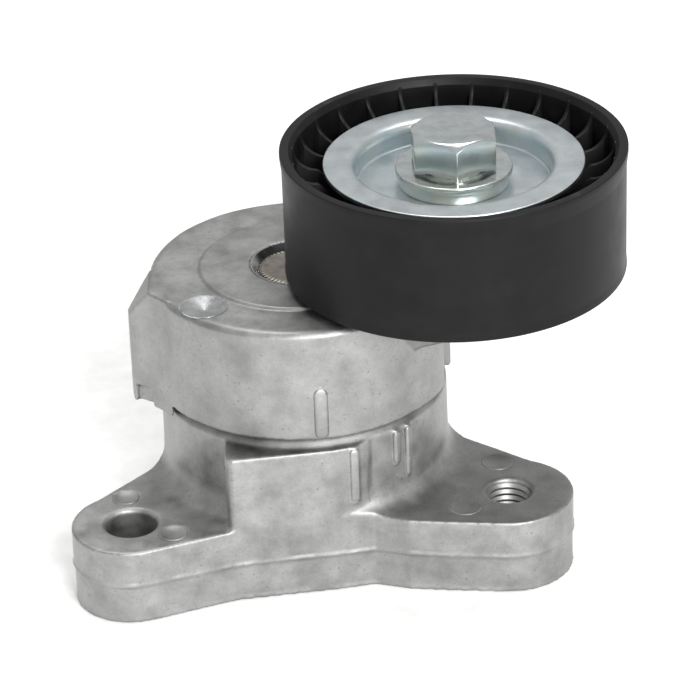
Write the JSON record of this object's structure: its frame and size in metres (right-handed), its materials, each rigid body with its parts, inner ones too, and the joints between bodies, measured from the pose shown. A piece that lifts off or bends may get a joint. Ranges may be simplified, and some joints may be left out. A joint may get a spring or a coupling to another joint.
{
  "type": "belt tensioner idler",
  "caption": "Spring-loaded accessory-belt tensioner: cast base with bolt ears, swinging arm, and a ribbed black idler pulley on a sealed bearing.",
  "frame": {"origin": "where the arm's pivot axis meets the mounting face of the base", "axes": "+Z along the pivot axis, from the mounting face towards the pulley; +X towards the pulley side, +Y away from the bolt ears"},
  "size_m": [0.1198, 0.0782, 0.0953],
  "materials": {
    "cast_base": "as die-cast, satin, lightly blotched",
    "cast_arm": "as die-cast, satin",
    "bushing_polymer": "bearing-grade polyamide, natural",
    "damping_polymer": "glass-filled polyamide, black",
    "spring_band": "blued spring strip",
    "spring_wire": "phosphated spring wire",
    "thrust_steel": "plain steel",
    "shaft_steel": "turned and heat-treated steel",
    "bumper_rubber": "moulded rubber",
    "zinc_shield": "pressed sheet, bright zinc plated",
    "zinc_steel": "bright zinc plated",
    "bearing_steel": "ground bearing steel",
    "cage_polymer": "moulded polyamide",
    "seal_rubber": "nitrile rubber",
    "pulley_polymer": "moulded black glass-filled polyamide"
  },
  "bodies": {
    "base": {"base_housing": "cast_base", "pivot_bushing": "bushing_polymer", "lower_thrust_washer": "bushing_polymer", "damping_sleeve": "damping_polymer", "damper_band": "spring_band", "lower_spring_seat": "damping_polymer", "torsion_spring": "spring_wire"},
    "arm": {"upper_spring_seat": "damping_polymer", "upper_thrust_washer": "thrust_steel", "pivot_shaft": "shaft_steel", "retaining_disc": "thrust_steel", "tensioner_arm": "cast_arm", "stop_bumper": "bumper_rubber", "lower_dust_shield": "zinc_shield", "lower_spacer": "thrust_steel", "bearing_inner_ring": "bearing_steel", "upper_spacer": "thrust_steel", "dust_shield": "zinc_shield", "centre_bushing": "zinc_steel", "bolt_washer": "zinc_steel", "pulley_bolt": "zinc_steel"},
    "cage": {"bearing_balls": "bearing_steel", "bearing_cage": "cage_polymer"},
    "pulley": {"bearing_outer_ring": "bearing_steel", "lower_seal": "seal_rubber", "upper_seal": "seal_rubber", "pulley_shell": "pulley_polymer"}
  },
  "joints": [
    {"name": "arm_swing", "type": "hinge", "parent": "base", "child": "arm", "pos_m": [0, 0, 0], "axis": [0, 0, 1], "range_deg": [0, 35], "stiffness_Nm_per_rad": 8, "springref_deg": -68.75, "deforming": ["torsion_spring"]},
    {"name": "pulley_spin", "type": "hinge", "parent": "arm", "child": "pulley", "pos_m": [0.03328, -0.0059, 0.075], "axis": [0, 0, 1], "continuous": true},
    {"name": "cage_spin", "type": "hinge", "parent": "arm", "child": "cage", "pos_m": [0.03328, -0.0059, 0.075], "axis": [0, 0, 1], "continuous": true}
  ],
  "couplings": [
    {"joint": "cage_spin", "follows": "pulley_spin", "ratio": 0.618}
  ]
}
